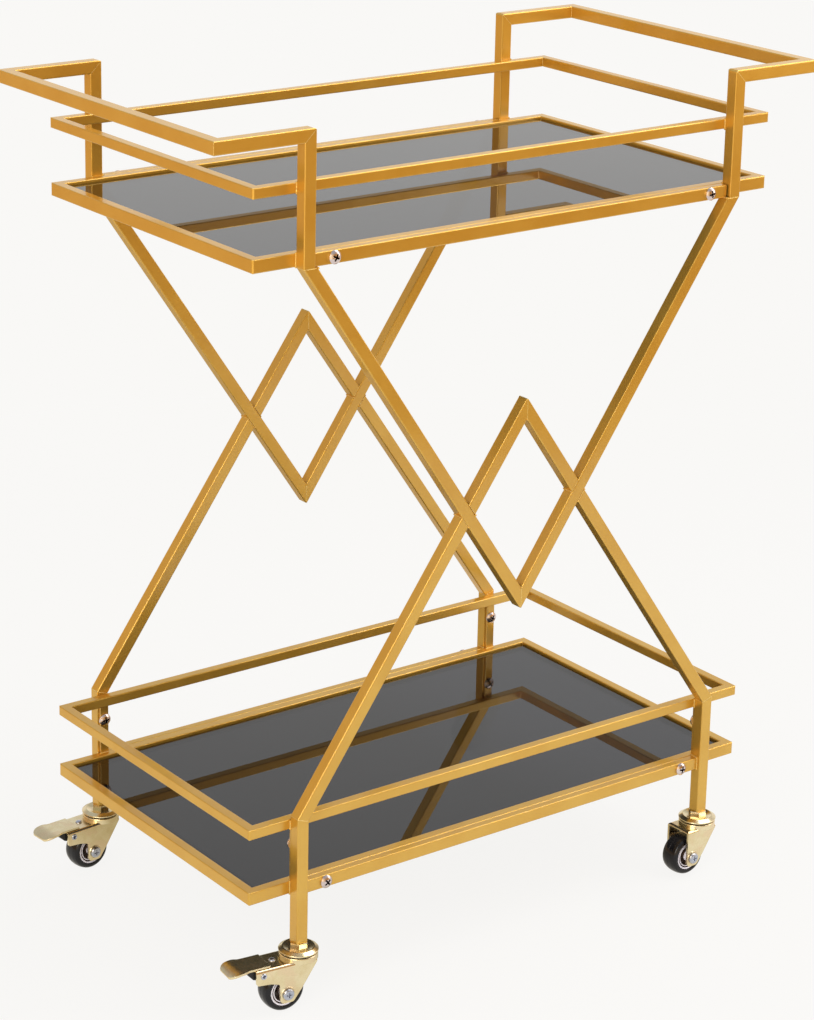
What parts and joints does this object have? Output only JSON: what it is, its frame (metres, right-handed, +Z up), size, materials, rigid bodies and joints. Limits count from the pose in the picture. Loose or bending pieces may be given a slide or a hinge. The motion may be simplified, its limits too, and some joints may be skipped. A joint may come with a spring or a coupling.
{
  "type": "bar cart",
  "caption": "Two-tier bar cart with glass shelves, guard rails, diamond side frames, end handles and swivel casters.",
  "frame": {"origin": "on the floor, under the middle of the cart", "axes": "+X along the long side to the right, +Y to the back, +Z up; the braked casters are at -X"},
  "size_m": [0.71, 0.4, 0.85],
  "materials": {
    "gold_paint": "satin gold powder coat",
    "smoked_glass": "smoked, polished",
    "nickel_steel": "nickel plated",
    "blue_zinc": "clear zinc plated",
    "yellow_zinc": "yellow zinc plated",
    "bearing_steel": "polished",
    "tyre_rubber": "glossy",
    "hub_plastic": "glossy",
    "black_plastic": "matt"
  },
  "bodies": {
    "cart_frame": {"upper_tray_rim": "gold_paint", "upper_guard_rail": "gold_paint", "lower_tray_rim": "gold_paint", "lower_guard_rail": "gold_paint", "upper_glass": "smoked_glass", "lower_glass": "smoked_glass", "left_handle": "gold_paint", "right_handle": "gold_paint", "front_top_bar": "gold_paint", "front_lower_bar": "gold_paint", "back_top_bar": "gold_paint", "back_lower_bar": "gold_paint", "front_right_post": "gold_paint", "front_right_v_arm": "gold_paint", "front_right_foot": "gold_paint", "front_right_brace": "gold_paint", "front_right_peak": "gold_paint", "front_left_post": "gold_paint", "front_left_v_arm": "gold_paint", "front_left_foot": "gold_paint", "front_left_brace": "gold_paint", "front_left_peak": "gold_paint", "back_right_post": "gold_paint", "back_right_v_arm": "gold_paint", "back_right_foot": "gold_paint", "back_right_brace": "gold_paint", "back_right_peak": "gold_paint", "back_left_post": "gold_paint", "back_left_v_arm": "gold_paint", "back_left_foot": "gold_paint", "back_left_brace": "gold_paint", "back_left_peak": "gold_paint", "guard_straps": "gold_paint", "frame_screws": "nickel_steel", "leg_inserts": "yellow_zinc", "caster_stems": "yellow_zinc", "swivel_cups": "yellow_zinc", "swivel_balls": "bearing_steel"},
    "front_right_caster": {"front_right_caster_fork": "yellow_zinc", "front_right_axle_bolt": "blue_zinc"},
    "front_right_wheel": {"front_right_tyre": "tyre_rubber", "front_right_hub": "hub_plastic"},
    "front_left_caster": {"front_left_caster_fork": "yellow_zinc", "front_left_axle_bolt": "blue_zinc", "front_left_brake_pin": "blue_zinc"},
    "front_left_wheel": {"front_left_tyre": "tyre_rubber", "front_left_hub": "hub_plastic"},
    "front_left_brake": {"front_left_brake_pedal": "yellow_zinc", "front_left_brake_shoe": "black_plastic"},
    "back_right_caster": {"back_right_caster_fork": "yellow_zinc", "back_right_axle_bolt": "blue_zinc"},
    "back_right_wheel": {"back_right_tyre": "tyre_rubber", "back_right_hub": "hub_plastic"},
    "back_left_caster": {"back_left_caster_fork": "yellow_zinc", "back_left_axle_bolt": "blue_zinc", "back_left_brake_pin": "blue_zinc"},
    "back_left_wheel": {"back_left_tyre": "tyre_rubber", "back_left_hub": "hub_plastic"},
    "back_left_brake": {"back_left_brake_pedal": "yellow_zinc", "back_left_brake_shoe": "black_plastic"}
  },
  "joints": [
    {"name": "front_right_swivel", "type": "hinge", "parent": "cart_frame", "child": "front_right_caster", "pos_m": [0.25365, -0.18065, 0.0556], "axis": [0, 0, 1], "continuous": true},
    {"name": "front_right_wheel_spin", "type": "hinge", "parent": "front_right_caster", "child": "front_right_wheel", "pos_m": [0.23496, -0.18114, 0.0215], "axis": [-0.0262, 0.9997, 0], "continuous": true},
    {"name": "front_left_swivel", "type": "hinge", "parent": "cart_frame", "child": "front_left_caster", "pos_m": [-0.25365, -0.18065, 0.0556], "axis": [0, 0, 1], "continuous": true},
    {"name": "front_left_wheel_spin", "type": "hinge", "parent": "front_left_caster", "child": "front_left_wheel", "pos_m": [-0.27221, -0.17837, 0.0215], "axis": [0.1219, 0.9925, 0], "continuous": true},
    {"name": "front_left_brake_press", "type": "hinge", "parent": "front_left_caster", "child": "front_left_brake", "pos_m": [-0.29772, -0.17524, 0.046], "axis": [-0.1219, -0.9925, 0], "range_deg": [0, 18]},
    {"name": "back_right_swivel", "type": "hinge", "parent": "cart_frame", "child": "back_right_caster", "pos_m": [0.25365, 0.18065, 0.0556], "axis": [0, 0, 1], "continuous": true},
    {"name": "back_right_wheel_spin", "type": "hinge", "parent": "back_right_caster", "child": "back_right_wheel", "pos_m": [0.23495, 0.18065, 0.0215], "axis": [0, 1, 0], "continuous": true},
    {"name": "back_left_swivel", "type": "hinge", "parent": "cart_frame", "child": "back_left_caster", "pos_m": [-0.25365, 0.18065, 0.0556], "axis": [0, 0, 1], "continuous": true},
    {"name": "back_left_wheel_spin", "type": "hinge", "parent": "back_left_caster", "child": "back_left_wheel", "pos_m": [-0.27229, 0.17918, 0.0215], "axis": [-0.0785, 0.9969, 0], "continuous": true},
    {"name": "back_left_brake_press", "type": "hinge", "parent": "back_left_caster", "child": "back_left_brake", "pos_m": [-0.29791, 0.17717, 0.046], "axis": [0.0785, -0.9969, 0], "range_deg": [0, 18]}
  ]
}
